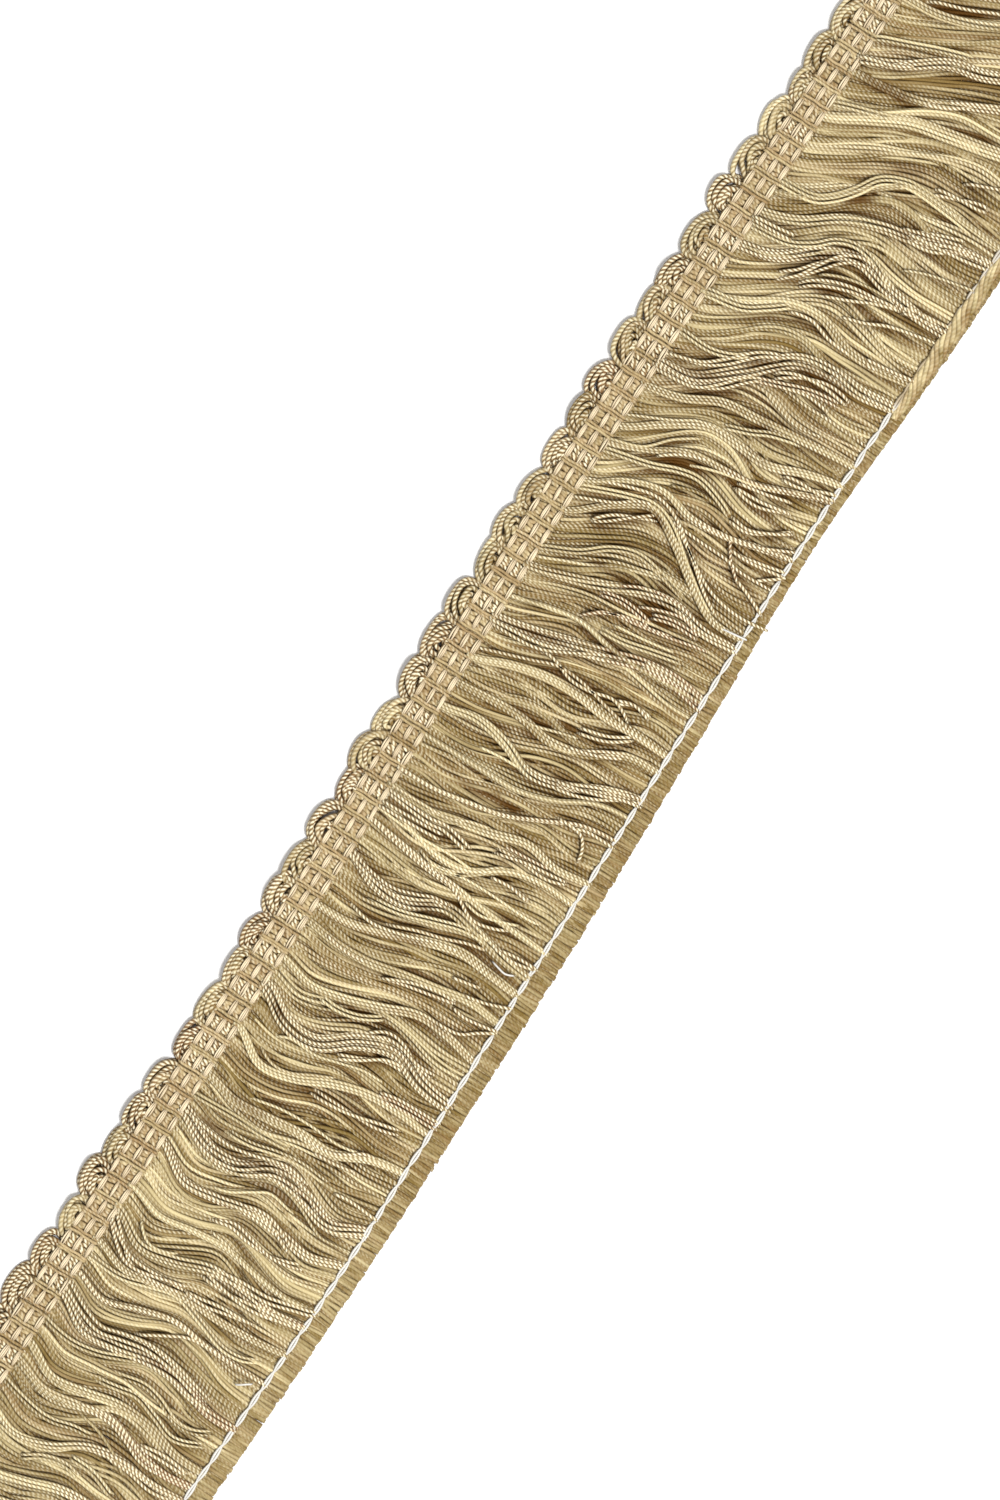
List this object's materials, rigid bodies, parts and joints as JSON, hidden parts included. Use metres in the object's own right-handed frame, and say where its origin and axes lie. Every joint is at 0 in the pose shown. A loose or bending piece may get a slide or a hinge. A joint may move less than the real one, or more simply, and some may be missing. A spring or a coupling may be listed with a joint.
{
  "type": "fringe trim",
  "caption": "Cut length of brush fringe trim with a ribbed woven heading, a looped upper edge and a wavy skirt of plied yarn held near its cut ends by a line of chain stitch.",
  "frame": {"origin": "on the surface the trim lies on, under the middle of its box", "axes": "+X along the trim, +Y from the fringe towards the looped edge, +Z out of the front face"},
  "size_m": [0.3378, 0.053, 0.0033],
  "materials": {
    "heading_yarn": "soft sheen",
    "loop_yarn": "soft sheen",
    "fringe_yarn": "soft sheen",
    "stitch_thread": "matt"
  },
  "bodies": {
    "root": {"heading_band": "heading_yarn", "loop_edge": "loop_yarn", "fringe_skirt": "fringe_yarn", "chain_stitch": "stitch_thread"}
  },
  "joints": []
}
